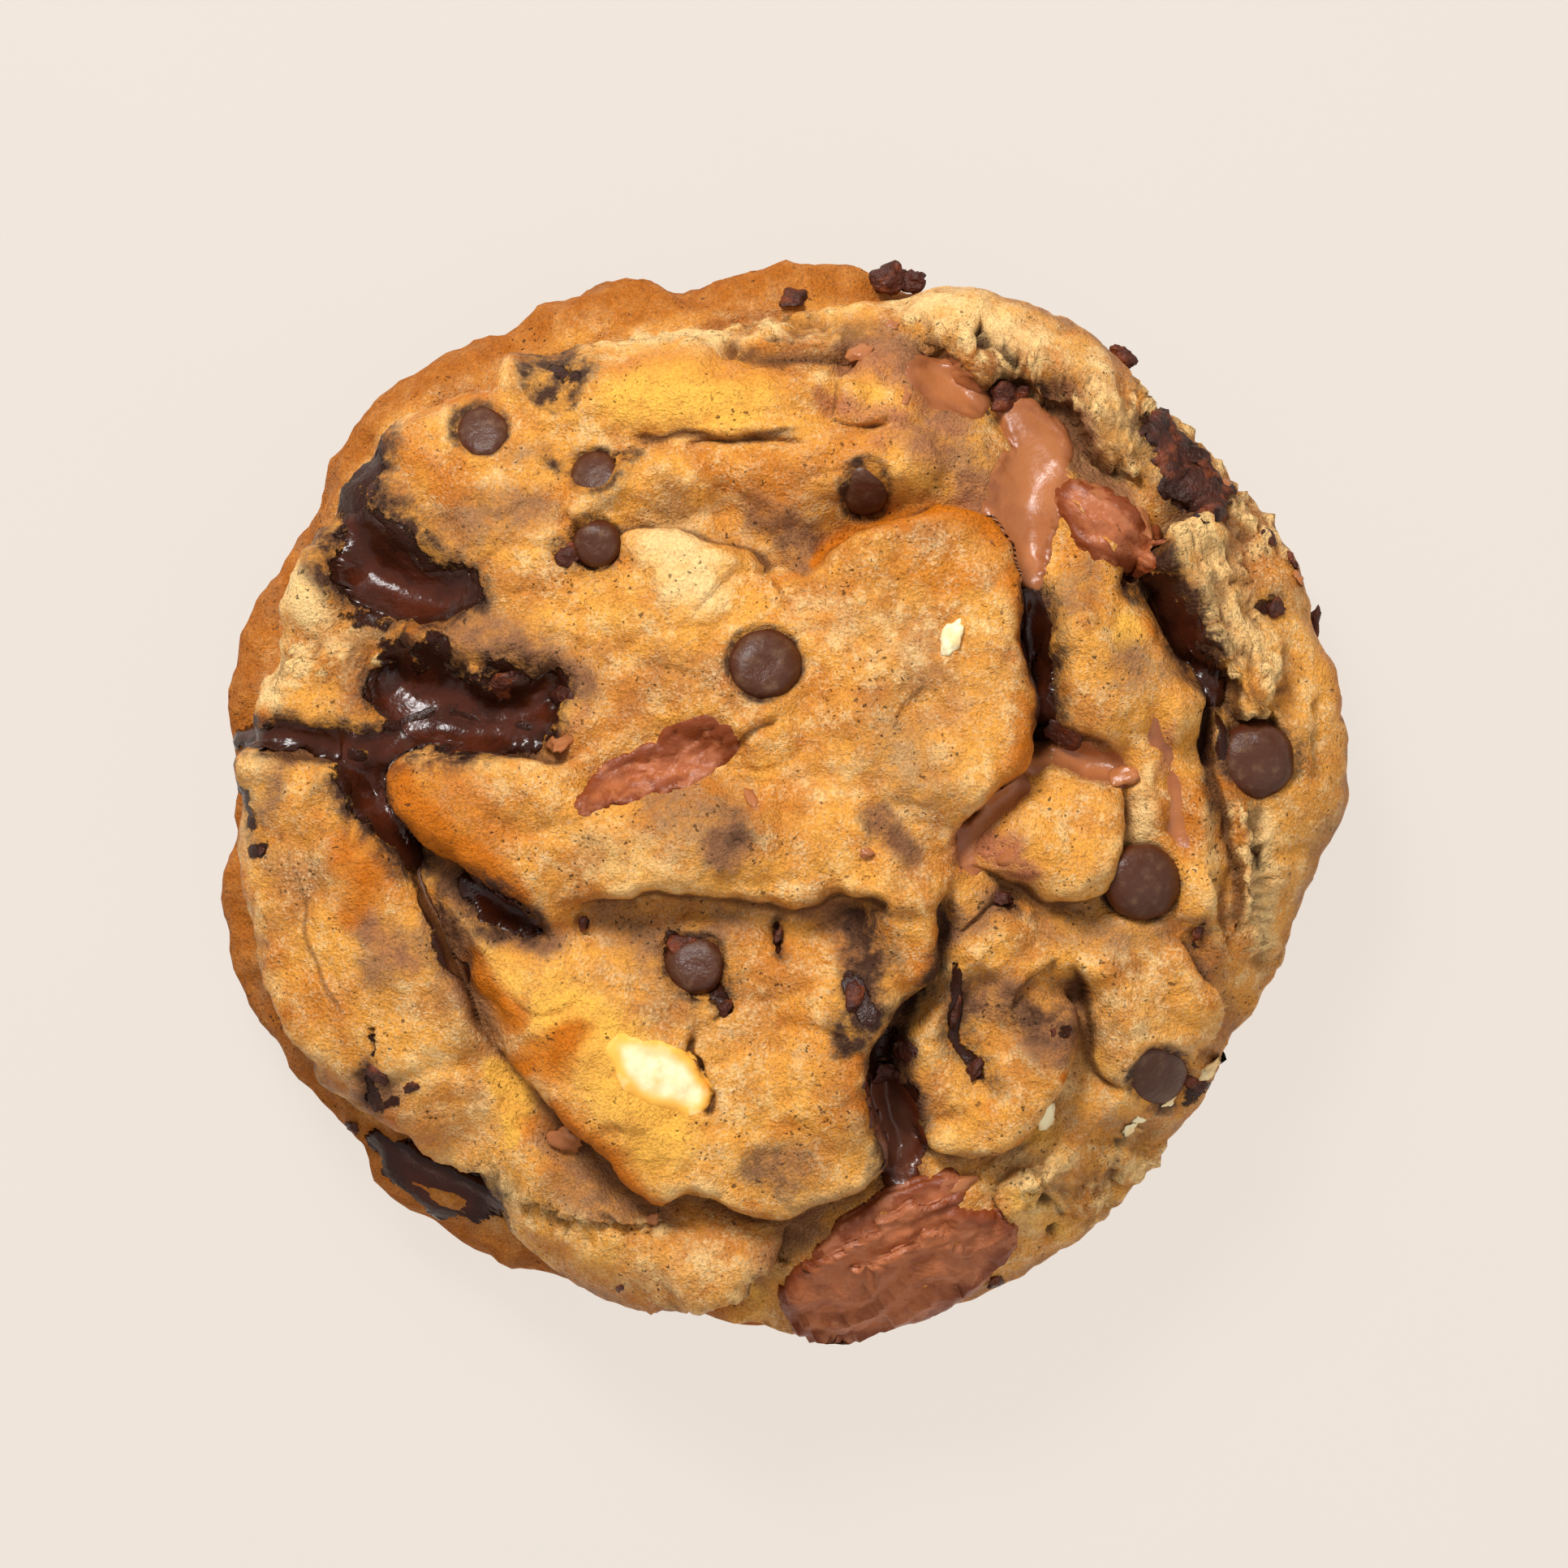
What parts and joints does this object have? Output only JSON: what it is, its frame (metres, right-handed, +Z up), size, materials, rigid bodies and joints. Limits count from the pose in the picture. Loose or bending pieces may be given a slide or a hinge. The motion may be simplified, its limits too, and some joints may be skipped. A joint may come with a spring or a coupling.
{
  "type": "chocolate chip cookie",
  "caption": "Thick soft-baked cookie: folded dough heaped on a browned foot, with drops, chunks and melted pools of dark, milk and white chocolate set into its top.",
  "frame": {"origin": "under the middle of the cookie's box, on the surface it rests on", "axes": "+Z up, out of the flat underside; +Y away from the viewer and +X to the right, seen from above"},
  "size_m": [0.1157, 0.1106, 0.0336],
  "materials": {
    "dough": "baked crumb, slightly oily",
    "dark_chocolate": "soft gloss",
    "milk_chocolate": "soft gloss",
    "white_chocolate": "satin"
  },
  "bodies": {
    "root": {"dough": "dough", "drop_middle": "dark_chocolate", "drop_right": "dark_chocolate", "drop_far_right": "dark_chocolate", "drop_lower_right": "dark_chocolate", "drop_upper_left": "dark_chocolate", "drop_top_left": "dark_chocolate", "drop_left_crease": "dark_chocolate", "drop_left_hollow": "dark_chocolate", "drop_top_crease": "dark_chocolate", "drop_lower_middle": "dark_chocolate", "dark_pool_upper_left": "dark_chocolate", "dark_pool_left": "dark_chocolate", "dark_pool_left_fork": "dark_chocolate", "dark_pool_under_snout": "dark_chocolate", "dark_pool_gap": "dark_chocolate", "dark_pool_right": "dark_chocolate", "dark_pool_lower": "dark_chocolate", "dark_pool_foot": "dark_chocolate", "dark_chunk_edge": "dark_chocolate", "milk_pool_right": "milk_chocolate", "milk_pool_top": "milk_chocolate", "milk_chunk_upper_right": "milk_chocolate", "milk_chunk_near": "milk_chocolate", "milk_smear_right": "milk_chocolate", "milk_band_right": "milk_chocolate", "milk_streak_right": "milk_chocolate", "milk_chunk_middle": "milk_chocolate", "white_chunk_lower": "white_chocolate"}
  },
  "joints": []
}
